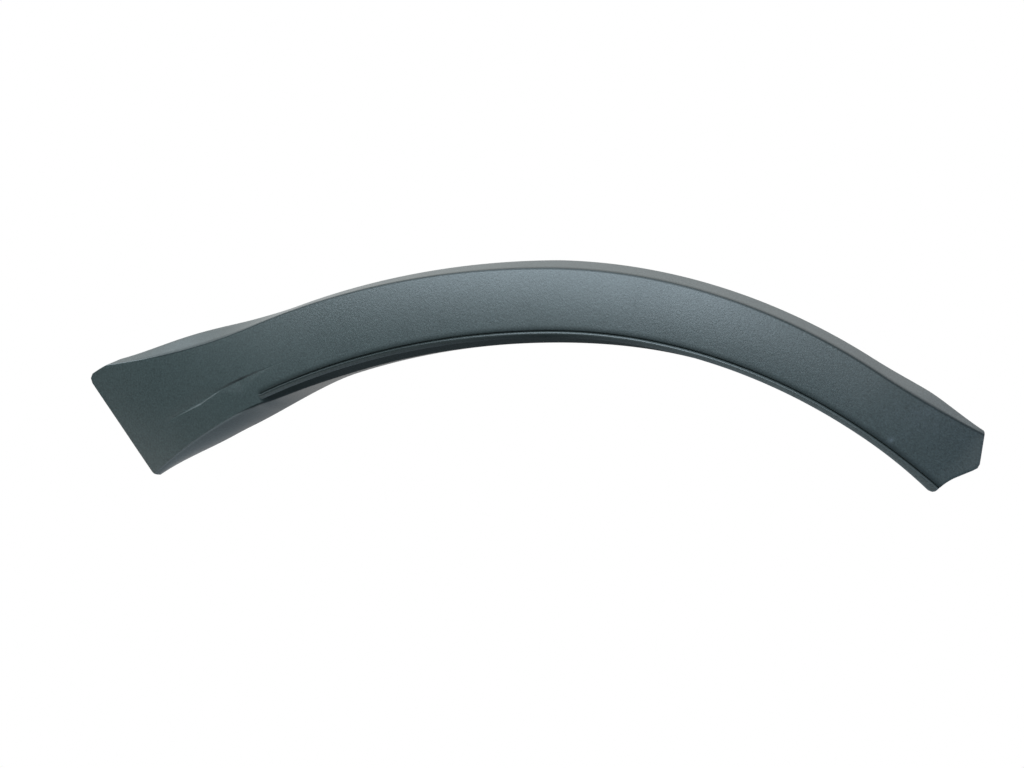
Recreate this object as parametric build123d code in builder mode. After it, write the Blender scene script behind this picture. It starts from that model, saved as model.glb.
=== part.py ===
"""Wheel arch trim: one thin-walled injection moulding with push-in clips on its hidden side.

Frame: X runs along the wheel arch towards the nose, Y goes into the car body, Z is up.
The origin is where the crown clip meets the body panel.
A place on the trim is given by three sizes. Station is the length along the lip, from the crown, positive
towards the nose. Offset is the distance across the strip, outwards from the lip. Height is the distance
from the body panel towards the outside.
"""
import math
import os

from build123d import *

# Lip curve: two arcs that meet at the crown, on a body side that is gently bowed in plan
lip_radius_tail = 570.0
lip_radius_nose = 367.0
lip_below_clip = 24.0
body_plan_radius = 2500.0
tail_station = -325.0
nose_station = 262.0
overrun = 24.0

# Wall of the moulding and its height over the body panel
wall = 2.5
end_rise = 3.0
fold_rise = 13.0
lip_rise = 21.0
tail_ramp_length = 135.0
nose_ramp_length = 60.0
nose_lip_share = 0.85

# Face between the lip and the upper fold
face_width = 38.0
face_taper_tail = 0.026
face_taper_nose = 0.0325
face_crown = 0.7
fold_radius = 1.2
tail_flare_station = -205.0
tail_flare = 34.6
nose_flare_station = 200.0
nose_flare = 7.7

# Bevel that falls from the upper fold to the body panel
bevel_width = 5.4
bevel_taper = 0.0095
bevel_least = 1.5
tail_bevel = 7.0
tail_bevel_start = -175.0
tail_bevel_length = 150.0
nose_bevel_gain = 2.0
nose_bevel_gain_lead = 72.0
nose_bevel_loss = 3.0
nose_bevel_loss_lead = 37.0
nose_bevel_blend = 40.0

# Return flange under the lip, and the rolled lower edge of the tail
return_offset = -7.7
return_offset_nose = -5.4
return_nose_blend = 120.0
return_offset_tail = -6.2
return_tail_lead = 17.0
return_tail_blend = 50.0
return_step = 5.0
return_step_lead = 7.0
return_step_blend = 12.0
return_drop = 7.0
return_drop_blend = 60.0
return_radius = 2.0
flange_edge_offset = -6.4
flange_reach = 8.0
flange_start = -255.0
flange_blend = 90.0
flange_bulge = 0.2
tail_roll = 7.0
tail_roll_start = -150.0
tail_roll_blend = 85.0
tail_roll_loss = 5.5
tail_roll_loss_start = -250.0
tail_roll_bulge = 1.5
tail_roll_bulge_start = -190.0
tail_roll_bulge_blend = 60.0

# Lip bead that starts with a blunt end beside the tail
bead_start = -207.0
bead_notch = 1.6
bead_width = 4.8
bead_crown_start = 1.9
bead_crown_end = 3.6
nose_bead_start = 215.0
nose_bead_gain = 1.35
bead_proud = 0.4
bead_tip = 1.8
bead_root = 2.8

# Feathered crease in the tail: a ledge that faces up, then one that faces down
crease_offset = 14.0
crease_slant = 0.03
crease_depth = 0.9
crease_ramp_width = 9.0
crease_ledge_width = 0.8
crease_cutter_rise = 3.0
crease_fade = 1.15
up_ledge_stations = (-292.0, -258.0, -230.0)
down_ledge_stations = (-246.0, -222.0, -160.0)

# Plan outline of the tail end, each corner as station and offset; elsewhere it keeps off the strip
tail_shoulder = (-300.0, 72.6)
tail_corner_top = (-328.8, 77.1)
tail_top_radius = 4.5
tail_corner_low = (-319.8, -8.1)
tail_low_radius = 6.5
tail_waist = (-199.0, -14.5)
outline_clear = 95.0
outline_depth = 120.0

# Cut of the nose end, undercut towards the back, with its corners on the plane of the X and Z axes
nose_undercut = 25.0
nose_shoulder = (249.8, 41.0)
nose_corner_top = (265.9, 42.9)
nose_corner_radius = 3.5
nose_tooth = (276.2, 23.5)
nose_tooth_radius = 5.0
nose_waist = (266.6, 4.2)
nose_waist_radius = 40.0
lip_tip = (264.7, -6.6)
lip_tip_radius = 3.0
lip_heel = (258.0, -9.0)

# Push-in clips: a base that slides into its tower, a neck, a round collar and a cross-shaped arrow stem
clip_stations = (-245.0, -165.0, -82.0, 0.0, 82.0, 165.0, 222.0)
clip_base_size = 11.0
clip_base_thickness = 1.6
clip_neck_size = 6.4
clip_collar_radius = 8.0
clip_collar_thickness = 1.6
clip_stem_width = 5.0
clip_stem_web = 1.8
clip_barb_depth = 3.2
clip_barb_width = 9.2
clip_barb_edge = 0.8
clip_tip_width = 2.4
clip_length = 13.0

# Clip towers on the inner face, each open towards the nose, with a slotted plate
clip_fit = 0.2
tower_gap = 0.7
tower_wall = 1.8
tower_plate = 2.0
slot_width = clip_neck_size + 2 * clip_fit
tower_size = clip_base_size + 2 * tower_gap + 2 * tower_wall
base_depth = clip_collar_thickness + tower_plate + clip_fit

# Gussets between the face and the return flange, and screw holes in the flange
gusset_stations = (-205.0, -123.0, -41.0, 41.0, 123.0, 193.0)
gusset_thickness = 1.4
gusset_offset = 10.0
gusset_foot = -3.0
screw_spacing = 140.0
screw_hole_radius = 2.75
screw_hole_height = -2.0

# Construction
hollow_overcut = 20.0
edge_land = 5.0
edge_lift = 0.3
tail_spans = 5
step_spans = 2
arch_tail_spans = 5
arch_nose_spans = 8


def clamp(share):
    """Share held between 0 and 1."""
    return min(1.0, max(0.0, share))


def ease_out(share):
    """Rises from 0 to 1 and levels off."""
    return 1 - (1 - clamp(share)) ** 2


def smooth(share):
    """Rises from 0 to 1, level at both ends."""
    held = clamp(share)
    return held * held * (3 - 2 * held)


def tail_ramp(station):
    """0 at the tail end, 1 on the arch."""
    return ease_out((station - tail_station) / tail_ramp_length)


def nose_ramp(station):
    """0 at the nose end, 1 on the arch."""
    return ease_out((nose_station - station) / nose_ramp_length)


def lip_radius(station):
    """Radius of the lip on the tail side or the nose side of the crown."""
    return lip_radius_tail if station < 0 else lip_radius_nose


def lip_station(x):
    """Station of the lip at a place along X."""
    radius = lip_radius(x)
    return radius * math.asin(x / radius)


def section_plane(station):
    """Plane across the strip: its x is the offset, its y the height, and its origin is on the body panel."""
    radius = lip_radius(station)
    angle = station / radius
    x = radius * math.sin(angle)
    z = -lip_below_clip - radius * (1 - math.cos(angle))
    outwards = (math.sin(angle), 0, math.cos(angle))
    along = (math.cos(angle), 0, -math.sin(angle))
    return Plane(origin=(x, x * x / (2 * body_plan_radius), z), x_dir=outwards, z_dir=along)


def fold_height(station):
    """Height of the upper fold."""
    return end_rise + (fold_rise - end_rise) * tail_ramp(station) * nose_ramp(station)


def lip_height(station):
    """Height of the lip."""
    nose_share = nose_lip_share + (1 - nose_lip_share) * nose_ramp(station)
    return end_rise + (lip_rise - end_rise) * tail_ramp(station) * nose_share


def fold_offset(station):
    """Offset of the upper fold: the face narrows towards the nose and flares at both ends."""
    taper = face_taper_tail if station < 0 else face_taper_nose
    tail_share = max(0.0, (tail_flare_station - station) / (tail_flare_station - tail_station))
    nose_share = max(0.0, (station - nose_flare_station) / (nose_station - nose_flare_station))
    return face_width - taper * station + tail_flare * tail_share**2 + nose_flare * nose_share**2


def bevel_offset(station):
    """Offset of the outer edge, on the body panel."""
    width = max(bevel_width - bevel_taper * abs(station), bevel_least)
    width += tail_bevel * math.sin(math.pi * clamp((tail_bevel_start - station) / tail_bevel_length)) ** 2
    width += nose_bevel_gain * smooth((station - nose_station + nose_bevel_gain_lead) / nose_bevel_blend)
    width -= nose_bevel_loss * smooth((station - nose_station + nose_bevel_loss_lead) / nose_bevel_blend)
    return fold_offset(station) + width


def face_height(station, offset):
    """Height of the face: a straight lean from lip to fold with a slight crown, carried on past the lip."""
    share = offset / fold_offset(station)
    straight = lip_height(station) + (fold_height(station) - lip_height(station)) * share
    return straight + 4 * face_crown * share * (1 - share)


def return_point(station):
    """Lower fold: flush with the face on the tail, stepped back under the bead on the arch."""
    tail_share = smooth((bead_start + return_tail_lead - station) / return_tail_blend)
    nose_share = smooth(station / return_nose_blend)
    offset = return_offset + (return_offset_tail - return_offset) * tail_share
    offset += (return_offset_nose - return_offset) * nose_share
    step = return_step * smooth((station - bead_start + return_step_lead) / return_step_blend)
    drop = return_drop * smooth((station - bead_start) / return_drop_blend)
    return offset, face_height(station, offset) - step - drop


def flange_edge(station):
    """Free edge of the return flange: behind the panel on the arch, on the panel along the tail."""
    loss_share = smooth((tail_roll_loss_start - station) / (tail_roll_loss_start - tail_station))
    roll = tail_roll * smooth((tail_roll_start - station) / tail_roll_blend) - tail_roll_loss * loss_share
    return flange_edge_offset - roll, -flange_reach * smooth((station - flange_start) / flange_blend)


def roll_bulge(station):
    """Bulge of the flange: nearly flat on the arch, rolled along the tail."""
    tail_share = smooth((tail_roll_bulge_start - station) / tail_roll_bulge_blend) * tail_ramp(station)
    return flange_bulge + (tail_roll_bulge - flange_bulge) * tail_share


def skin_points(station):
    """Corners of the outer skin: outer edge, upper fold, lip, lower fold and flange edge."""
    edge = (bevel_offset(station), 0.0)
    fold = (fold_offset(station), fold_height(station))
    lip = (0.0, lip_height(station))
    return [edge, fold, lip, return_point(station), flange_edge(station)]


def rounded(before, corner, after, radius):
    """Start, middle and end of the arc that rounds a corner between two straight runs."""
    centre = Vector(*corner)
    back = (Vector(*before) - centre).normalized()
    forth = (Vector(*after) - centre).normalized()
    half = math.radians(back.get_angle(forth)) / 2
    reach = radius / math.tan(half)
    middle = centre + (back + forth).normalized() * (radius / math.sin(half) - radius)
    return centre + back * reach, middle, centre + forth * reach


def outward_bulge(start, end, bulge):
    """Middle of an arc of the outer skin between two points, pushed outwards by its bulge."""
    way = (end - start).normalized()
    return (start + end) / 2 + Vector(way.Y, -way.X) * bulge


def inner_points(station):
    """Corners of the hollow: each run of the skin moved in by the wall, and carried on past the back."""
    skin = [Vector(*point) for point in skin_points(station)]
    ways = [(end - start).normalized() for start, end in zip(skin, skin[1:])]
    inwards = [Vector(-way.Y, way.X) for way in ways]
    corners = [
        corner + (side + next_side) * (wall / (1 + side.dot(next_side)))
        for corner, side, next_side in zip(skin[1:], inwards, inwards[1:])
    ]
    first = corners[0] - ways[0] * ((corners[0].Y + hollow_overcut) / ways[0].Y)
    last = corners[-1] - ways[-1] * ((corners[-1].Y + hollow_overcut) / ways[-1].Y)
    return [first] + corners + [last]


def bead_points(station):
    """Corners of the bead: inner end of its front, the two sides of its crown, blunt tip, and root."""
    nose_share = max(0.0, (station - nose_bead_start) / (nose_station - nose_bead_start))
    gain = nose_bead_gain * nose_share**2
    lip = Vector(0, lip_height(station))
    start = lip + Vector(0, -bead_notch)
    crown = lip + Vector(-bead_crown_start, bead_proud)
    shoulder = lip + Vector(-bead_crown_end - gain, bead_proud)
    tip = lip + Vector(-bead_width - gain, -bead_tip / 2)
    under = lip + Vector(-bead_width - gain + bead_tip / 3, -bead_tip)
    root = lip + Vector(bead_root, -2 * bead_root)
    return start, crown, shoulder, tip, under, root


def crease_points(station, stations, side):
    """Corners of a wedge on the face; its ledge, on one side, cuts in only between first and last station."""
    first, deepest, last = stations
    share = (station - deepest) / ((last if station > deepest else first) - deepest)
    depth = crease_depth * (1 - crease_fade * share**2)
    along = crease_offset - crease_slant * (station - down_ledge_stations[1])
    slope = (fold_height(station) - lip_height(station)) / fold_offset(station)
    bottom = Vector(along, face_height(station, along) - depth)
    ledge_top = bottom + Vector(side * crease_ledge_width, crease_cutter_rise)
    reach = -side * crease_ramp_width * crease_cutter_rise / crease_depth
    ramp_top = bottom + Vector(reach, crease_cutter_rise + slope * reach)
    return bottom, ledge_top, ramp_top


def clip_plane(station):
    """Plane on the body panel at a clip: its x runs along the strip and its z goes into the body."""
    across = section_plane(station)
    centre = across.origin + across.x_dir * (lip_below_clip * fold_offset(station) / face_width)
    return Plane(origin=centre, x_dir=across.z_dir, z_dir=(0, 1, 0))


def stem_outline():
    """Half of the clip's arrow, as half width and depth into the body: stem, barb and tip."""
    return [
        (clip_stem_width / 2, 0),
        (clip_stem_width / 2, clip_barb_depth),
        (clip_barb_width / 2, clip_barb_depth),
        (clip_barb_width / 2, clip_barb_depth + clip_barb_edge),
        (clip_tip_width / 2, clip_length),
    ]


def plan_place(spot):
    """Point of the plan view, as X and Z, at a station and offset."""
    station, across = spot
    plane = section_plane(station)
    point = plane.origin + plane.x_dir * across
    return point.X, point.Z


def spaced(first, last, spans):
    """Even stations from the first up to, but without, the last."""
    return [first + (last - first) * index / spans for index in range(spans)]


step_start = bead_start - return_step_lead
step_end = bead_start + return_step_lead
bead_stations = spaced(step_end, 0, arch_tail_spans) + spaced(0, nose_station, arch_nose_spans)
bead_stations += [nose_station, nose_station + overrun]
loft_stations = [tail_station - overrun] + spaced(tail_station, step_start, tail_spans)
loft_stations += spaced(step_start, step_end, step_spans) + bead_stations

nose_far = nose_station + 3 * overrun
undercut_way = Vector(0, 1, 0).rotate(Axis.Z, nose_undercut)

with BuildSketch(Plane.XZ) as tail_outline:
    with BuildLine():
        corners = [
            (tail_shoulder, 0),
            (tail_corner_top, tail_top_radius),
            (tail_corner_low, tail_low_radius),
            (tail_waist, 0),
            ((tail_waist[0], -outline_clear), 0),
            ((nose_far, -outline_clear), 0),
            ((nose_far, outline_clear), 0),
            ((nose_flare_station / 2, outline_clear), 0),
            ((tail_bevel_start, outline_clear), 0),
        ]
        places = [plan_place(spot) for spot, radius in corners]
        FilletPolyline(*places, radius=[radius for spot, radius in corners], close=True)
    make_face()

with BuildSketch(Plane.XZ) as nose_cut:
    with BuildLine():
        corners = [
            ((nose_far, -outline_clear), 0),
            ((nose_far, outline_clear), 0),
            ((nose_flare_station, outline_clear), 0),
            (nose_shoulder, 0),
            (nose_corner_top, nose_corner_radius),
            (nose_tooth, nose_tooth_radius),
            (nose_waist, nose_waist_radius),
            (lip_tip, lip_tip_radius),
            (lip_heel, 0),
            ((lip_heel[0], -outline_clear), 0),
        ]
        places = [plan_place(spot) for spot, radius in corners]
        FilletPolyline(*places, radius=[radius for spot, radius in corners], close=True)
    make_face()

with BuildSketch(Plane.XZ) as hollow_outline:
    add(tail_outline.sketch)
    offset(amount=-wall, kind=Kind.INTERSECTION, mode=Mode.REPLACE)

with BuildSketch(Plane.XZ) as hollow_nose_cut:
    add(nose_cut.sketch)
    offset(amount=wall, kind=Kind.INTERSECTION, mode=Mode.REPLACE)

with BuildPart() as hollow:
    for station in loft_stations:
        first, fold, lip, low, last = inner_points(station)
        face_middle = outward_bulge(fold, lip, face_crown)
        with BuildSketch(section_plane(station)):
            with BuildLine():
                Line(first, fold)
                ThreePointArc(fold, face_middle, lip)
                Polyline(lip, low, last, first)
            make_face()
    loft()
    extrude(hollow_outline.sketch, amount=outline_depth, both=True, mode=Mode.INTERSECT)
    extrude(hollow_nose_cut.sketch, amount=outline_depth, dir=undercut_way, both=True, mode=Mode.SUBTRACT)
    for station in clip_stations:
        with BuildSketch(clip_plane(station).offset(-clip_collar_thickness)):
            Rectangle(tower_size, tower_size)
            with Locations((tower_wall, 0)):
                Rectangle(tower_size, tower_size - 2 * tower_wall, mode=Mode.SUBTRACT)
    extrude(amount=-lip_rise, mode=Mode.SUBTRACT)
    for station in clip_stations:
        with BuildSketch(clip_plane(station).offset(-clip_collar_thickness)):
            Rectangle(tower_size, tower_size)
            with Locations((-slot_width / 2, 0)):
                Rectangle(tower_size, slot_width, align=(Align.MIN, Align.CENTER), mode=Mode.SUBTRACT)
    extrude(amount=-tower_plate, mode=Mode.SUBTRACT)
    for station in gusset_stations:
        with BuildSketch(section_plane(station)):
            with BuildLine():
                foot = Vector(2 * return_offset, gusset_foot)
                top = Vector(2 * return_offset, 2 * lip_rise)
                corner = Vector(gusset_offset, 2 * lip_rise)
                heel = Vector(gusset_offset, face_height(station, gusset_offset) - 2 * wall)
                Polyline(foot, heel, corner, top, close=True)
            make_face()
    extrude(amount=gusset_thickness / 2, both=True, mode=Mode.SUBTRACT)

with BuildPart() as arch_moulding:
    for station in loft_stations:
        edge, fold, lip, low, free = [Vector(*point) for point in skin_points(station)]
        fold_in, fold_mid, fold_out = rounded(edge, fold, lip, fold_radius)
        low_in, low_mid, low_out = rounded(lip, low, free, return_radius)
        face_middle = outward_bulge(fold_out, lip, face_crown)
        roll_middle = outward_bulge(low_out, free, roll_bulge(station))
        with BuildSketch(section_plane(station)):
            with BuildLine():
                Line(edge, fold_in)
                ThreePointArc(fold_in, fold_mid, fold_out)
                ThreePointArc(fold_out, face_middle, lip)
                Line(lip, low_in)
                ThreePointArc(low_in, low_mid, low_out)
                ThreePointArc(low_out, roll_middle, free)
                Polyline(free, edge - Vector(edge_land, edge_lift), edge)
            make_face()
    loft()
    for station in [bead_start] + bead_stations:
        with BuildSketch(section_plane(station)):
            with BuildLine():
                Polyline(*bead_points(station), close=True)
            make_face()
    loft()
    extrude(tail_outline.sketch, amount=outline_depth, both=True, mode=Mode.INTERSECT)
    extrude(nose_cut.sketch, amount=outline_depth, dir=undercut_way, both=True, mode=Mode.SUBTRACT)
    add(hollow.part, mode=Mode.SUBTRACT)
    for stations, side in ((up_ledge_stations, -1), (down_ledge_stations, 1)):
        first, deepest, last = stations
        for station in (first, (first + deepest) / 2, deepest, (deepest + last) / 2, last):
            with BuildSketch(section_plane(station)):
                with BuildLine():
                    Polyline(*crease_points(station, stations, side), close=True)
                make_face()
        loft(mode=Mode.SUBTRACT)
    for x in (-screw_spacing / 2, screw_spacing / 2):
        lip_place = section_plane(lip_station(x)).origin
        hole_start = lip_place - Vector(0, screw_hole_height, 0)
        with BuildSketch(Plane(origin=hole_start, x_dir=(1, 0, 0), z_dir=(0, 0, -1))):
            Circle(screw_hole_radius)
    extrude(amount=-2 * return_offset, mode=Mode.SUBTRACT)

with BuildPart() as push_in_clips:
    for station in clip_stations:
        with BuildSketch(clip_plane(station)):
            Circle(clip_collar_radius)
    extrude(amount=-clip_collar_thickness)
    for station in clip_stations:
        with BuildSketch(clip_plane(station)):
            Rectangle(clip_neck_size, clip_neck_size)
    extrude(amount=-base_depth)
    for station in clip_stations:
        with BuildSketch(clip_plane(station).offset(-base_depth)):
            Rectangle(clip_base_size, clip_base_size)
    extrude(amount=-clip_base_thickness)
    half_stem = stem_outline()
    other_half = [(-width, depth) for width, depth in reversed(half_stem)]
    for station in clip_stations:
        seat = clip_plane(station)
        for across, normal in ((seat.x_dir, seat.y_dir), (seat.y_dir, -seat.x_dir)):
            with BuildSketch(Plane(origin=seat.origin, x_dir=across, z_dir=-normal)):
                with BuildLine():
                    Polyline(*half_stem, *other_half, close=True)
                make_face()
    extrude(amount=clip_stem_web / 2, both=True)

os.makedirs("parts", exist_ok=True)
arch_moulding.part.label = "arch_moulding"
push_in_clips.part.label = "push_in_clips"
export_step(arch_moulding.part, "parts/arch_moulding.step")
export_step(push_in_clips.part, "parts/push_in_clips.step")
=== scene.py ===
"""Looks of a moulded wheel arch trim: its satin grained skin, the parts moulded on its back, its clips
and a plain studio.

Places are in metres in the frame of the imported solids: X along the arch to the nose end, +Y into the
car body, Z up, with the origin on the body panel at the crown clip.
"""

import math

import bmesh
import bpy
import numpy as np
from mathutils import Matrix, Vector


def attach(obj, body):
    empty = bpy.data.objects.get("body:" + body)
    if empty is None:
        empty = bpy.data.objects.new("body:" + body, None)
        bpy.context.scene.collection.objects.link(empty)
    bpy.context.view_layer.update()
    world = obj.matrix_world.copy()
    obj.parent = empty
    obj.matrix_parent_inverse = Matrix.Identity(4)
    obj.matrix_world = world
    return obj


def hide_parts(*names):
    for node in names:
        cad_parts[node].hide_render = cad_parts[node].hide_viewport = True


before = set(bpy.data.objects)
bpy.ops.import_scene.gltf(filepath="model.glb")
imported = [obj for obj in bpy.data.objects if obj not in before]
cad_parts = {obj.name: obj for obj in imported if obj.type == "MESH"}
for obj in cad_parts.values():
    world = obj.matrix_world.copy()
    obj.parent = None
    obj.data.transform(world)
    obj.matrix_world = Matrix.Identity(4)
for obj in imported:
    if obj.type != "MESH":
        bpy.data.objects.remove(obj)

bl_info = {
    "name": "Wheel arch trim",
    "version": (1, 0, 0),
    "blender": (4, 5, 0),
    "location": "3D View > Sidebar > Arch Trim",
    "description": "Builds a moulded wheel arch trim and a plain studio round it",
    "category": "Object",
}


# Colours and shader nodes


def linear(colour):
    """Linear RGBA of an sRGB hex colour such as #3a4449."""
    parts = [int(colour[i : i + 2], 16) / 255 for i in (1, 3, 5)]
    return tuple(p / 12.92 if p <= 0.04045 else ((p + 0.055) / 1.055) ** 2.4 for p in parts) + (1.0,)


def add_node(tree, kind, inputs=None, **settings):
    """One shader node with its settings, its inputs given as values or as the sockets that feed them."""
    made = tree.nodes.new(kind)
    for name, value in settings.items():
        setattr(made, name, value)
    for name, value in (inputs or {}).items():
        if isinstance(value, bpy.types.NodeSocket):
            tree.links.new(value, made.inputs[name])
        else:
            made.inputs[name].default_value = value
    return made


# Sizes, colours and studio that a user may change


class TrimForm(bpy.types.PropertyGroup):
    """Main sizes of the moulding."""

    lip_radius_tail: bpy.props.FloatProperty(
        name="Lip radius, tail",
        description="Radius of the lip from the crown to the tail",
        default=0.570,
        unit="LENGTH",
    )
    lip_radius_nose: bpy.props.FloatProperty(
        name="Lip radius, nose",
        description="Radius of the lip from the crown to the nose",
        default=0.367,
        unit="LENGTH",
    )
    body_plan_radius: bpy.props.FloatProperty(
        name="Body bow",
        description="Radius to which the body panel bows back",
        default=2.5,
        unit="LENGTH",
    )
    face_width: bpy.props.FloatProperty(
        name="Face width",
        description="From the lip to the upper fold at the crown",
        default=0.038,
        unit="LENGTH",
    )
    face_crown: bpy.props.FloatProperty(
        name="Face crown",
        description="Bow of the face across the strip",
        default=0.0007,
        unit="LENGTH",
    )
    lip_rise: bpy.props.FloatProperty(
        name="Lip rise",
        description="Height of the lip above the panel",
        default=0.021,
        unit="LENGTH",
    )
    fold_rise: bpy.props.FloatProperty(
        name="Fold rise",
        description="Height of the upper fold above the panel",
        default=0.013,
        unit="LENGTH",
    )
    fold_radius: bpy.props.FloatProperty(
        name="Fold radius",
        description="Rounding of the upper fold",
        default=0.0012,
        unit="LENGTH",
    )
    edge_radius: bpy.props.FloatProperty(
        name="Edge radius",
        description="Rounding of the free edges",
        default=0.0005,
        unit="LENGTH",
    )
    bevel_width: bpy.props.FloatProperty(
        name="Bevel width",
        description="Width of the bevel above the fold",
        default=0.0054,
        unit="LENGTH",
    )
    wall: bpy.props.FloatProperty(
        name="Wall",
        description="Thickness of the moulded wall",
        default=0.0025,
        unit="LENGTH",
    )
    bead_width: bpy.props.FloatProperty(
        name="Bead width",
        description="Reach of the bead from the lip",
        default=0.0048,
        unit="LENGTH",
    )
    bead_proud: bpy.props.FloatProperty(
        name="Bead height",
        description="How far the bead stands above the lip",
        default=0.0004,
        unit="LENGTH",
    )
    crease_depth: bpy.props.FloatProperty(
        name="Crease depth",
        description="Depth of the feathered crease",
        default=0.0009,
        unit="LENGTH",
    )


class TrimLook(bpy.types.PropertyGroup):
    """Colours and grain of the two plastics."""

    moulding_colour: bpy.props.StringProperty(
        name="Moulding colour",
        description="sRGB hex of the moulded skin",
        default="#333b39",
    )
    clip_colour: bpy.props.StringProperty(
        name="Clip colour",
        description="sRGB hex of the push-in clips",
        default="#d9d5c8",
    )
    grain_size: bpy.props.FloatProperty(
        name="Grain size",
        description="Width of one pit of the moulded grain",
        default=0.0012,
        min=0.0002,
        unit="LENGTH",
    )


class TrimStudio(bpy.types.PropertyGroup):
    """Camera of the photo's view, and floor."""

    azimuth: bpy.props.FloatProperty(
        name="Azimuth",
        description="Turn of the camera round the trim",
        default=math.radians(25),
        subtype="ANGLE",
    )
    aim: bpy.props.FloatVectorProperty(
        name="Aim",
        description="Point that the camera looks at",
        default=(-0.033, 0.0, -0.057),
        subtype="TRANSLATION",
    )
    distance: bpy.props.FloatProperty(
        name="Distance",
        description="From the camera to its aim",
        default=2.0,
        min=0.5,
        unit="LENGTH",
    )
    picture_width: bpy.props.FloatProperty(
        name="Picture width",
        description="Width of the picture at the aim",
        default=0.6349,
        min=0.1,
        unit="LENGTH",
    )
    floor_height: bpy.props.FloatProperty(
        name="Floor height",
        description="Height of the floor under the hung trim",
        default=-0.6,
        unit="LENGTH",
    )


# Form of the strip
# A place on the strip is its station (arc length along the lip from the crown, positive to the nose),
# its offset (outwards from the lip) and its height (from the body panel towards the viewer). A START
# is a station, a LEAD the length by which a change comes before one, and a BLEND the length it takes.

# ends of the lip, and the lip's place under the crown clip
TAIL_STATION, NOSE_STATION = -0.325, 0.262
LIP_BELOW_CLIP = 0.024
# sinking of the strip to its ends, and on past the nose
END_RISE, TAIL_RAMP, NOSE_RAMP, NOSE_LIP_SHARE = 0.003, 0.135, 0.060, 0.85
NOSE_FALL, NOSE_FALL_GAIN = 1.56, 2.38
# taper of the face and its flares at the ends
FACE_TAPER_TAIL, FACE_TAPER_NOSE = 0.026, 0.0325
TAIL_FLARE_STATION, TAIL_FLARE = -0.205, 0.0346
NOSE_FLARE_STATION, NOSE_FLARE = 0.200, 0.0077
# width of the bevel along the strip
BEVEL_TAPER, BEVEL_LEAST = 0.0095, 0.0015
TAIL_BEVEL, TAIL_BEVEL_START, TAIL_BEVEL_LENGTH = 0.007, -0.175, 0.150
NOSE_BEVEL_GAIN, NOSE_BEVEL_GAIN_LEAD = 0.002, 0.072
NOSE_BEVEL_LOSS, NOSE_BEVEL_LOSS_LEAD, NOSE_BEVEL_BLEND = 0.003, 0.037, 0.040
# return under the lip, down to the lower fold
RETURN_OFFSET, RETURN_OFFSET_TAIL, RETURN_OFFSET_NOSE = -0.0077, -0.0062, -0.0054
RETURN_STEP, RETURN_STEP_LEAD, RETURN_STEP_BLEND = 0.005, 0.007, 0.012
RETURN_DROP, RETURN_DROP_BLEND = 0.007, 0.060
RETURN_TAIL_LEAD, RETURN_TAIL_BLEND, RETURN_NOSE_BLEND = 0.017, 0.050, 0.120
# flange, and the rolled lower edge of the tail that it turns into
FLANGE_EDGE_OFFSET, FLANGE_REACH, FLANGE_START, FLANGE_BLEND = -0.0064, 0.008, -0.255, 0.090
FLANGE_BULGE, ROLL_BULGE, ROLL_BULGE_START, ROLL_BULGE_BLEND = 0.0002, 0.0015, -0.190, 0.060
ROLL, ROLL_START, ROLL_BLEND, ROLL_LOSS, ROLL_LOSS_START = 0.007, -0.150, 0.085, 0.0055, -0.250
# bead along the lip: its corners from the lip, and their places on the return before the bead starts
BEAD_START, BEAD_LEAD, BEAD_BLEND = -0.207, 0.006, 0.004
NOSE_BEAD_START, NOSE_BEAD_GAIN, BEAD_LEAN = 0.215, 0.00135, 0.0004
BEAD_CROWN, BEAD_SHOULDER_SHARE, BEAD_TIP = -0.0019, 0.75, 0.0018
NOTCH_DEPTH, ROOT_AIM = 0.0016, (0.0028, -0.0056)
FLAT_SHARES = (0.08, 0.2, 0.32, 0.42, 0.5, 0.6)
# feathered crease: a ledge is given by its first, deepest and last station
CREASE_OFFSET, CREASE_SLANT, CREASE_MIDDLE = 0.0134, 0.03, -0.222
UP_LEDGE, DOWN_LEDGE = (-0.292, -0.258, -0.230), (-0.246, -0.222, -0.160)
RAMP_SLOPE, UP_LEDGE_SLOPE, DOWN_LEDGE_SLOPE = 0.1, 0.7, 1.6
UP_LEDGE_FADES, DOWN_LEDGE_FADES = (1.0, 1.0), (1.0, 5.0)
# outlines of the two ends: corners as station and offset, with their roundings
TAIL_SHOULDER, TAIL_TOP, TAIL_TOP_RADIUS = (-0.300, 0.0726), (-0.3288, 0.0771), 0.0045
TAIL_LOW, TAIL_LOW_RADIUS, TAIL_WAIST = (-0.3198, -0.0081), 0.0065, (-0.199, -0.0145)
NOSE_LEAN = math.tan(math.radians(25))
NOSE_SHOULDER, NOSE_TOP, NOSE_TOP_RADIUS = (0.2498, 0.0410), (0.2659, 0.0429), 0.0035
NOSE_TOOTH, NOSE_TOOTH_RADIUS = (0.2762, 0.0235), 0.005
NOSE_WAIST, NOSE_WAIST_RADIUS = (0.2666, 0.0042), 0.040
LIP_TIP, LIP_TIP_RADIUS = (0.2647, -0.0066), 0.003
LIP_HEEL, LIP_FOOT = (0.258, -0.009), (0.258, -0.095)
# clip towers, gussets (their heel in walls under the face) and screw holes
CLIP_STATIONS = (-0.245, -0.165, -0.082, 0.0, 0.082, 0.165, 0.222)
TOWER_SIZE, TOWER_WALL, TOWER_FOOT, TOWER_PLATE, TOWER_SLOT = 0.016, 0.0018, 0.0016, 0.002, 0.0068
PLATE_INSET, PLATE_LIFT, TOWER_EDGE = 0.0001, 0.00005, 0.0002
GUSSET_STATIONS, GUSSET_HALF = (-0.205, -0.123, -0.041, 0.041, 0.123, 0.193), 0.0007
GUSSET_OFFSET, GUSSET_FOOT, GUSSET_HEEL = 0.010, -0.003, 2.0
SCREW_SPACING, SCREW_RADIUS, SCREW_HEIGHT = 0.140, 0.00275, -0.002

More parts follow.
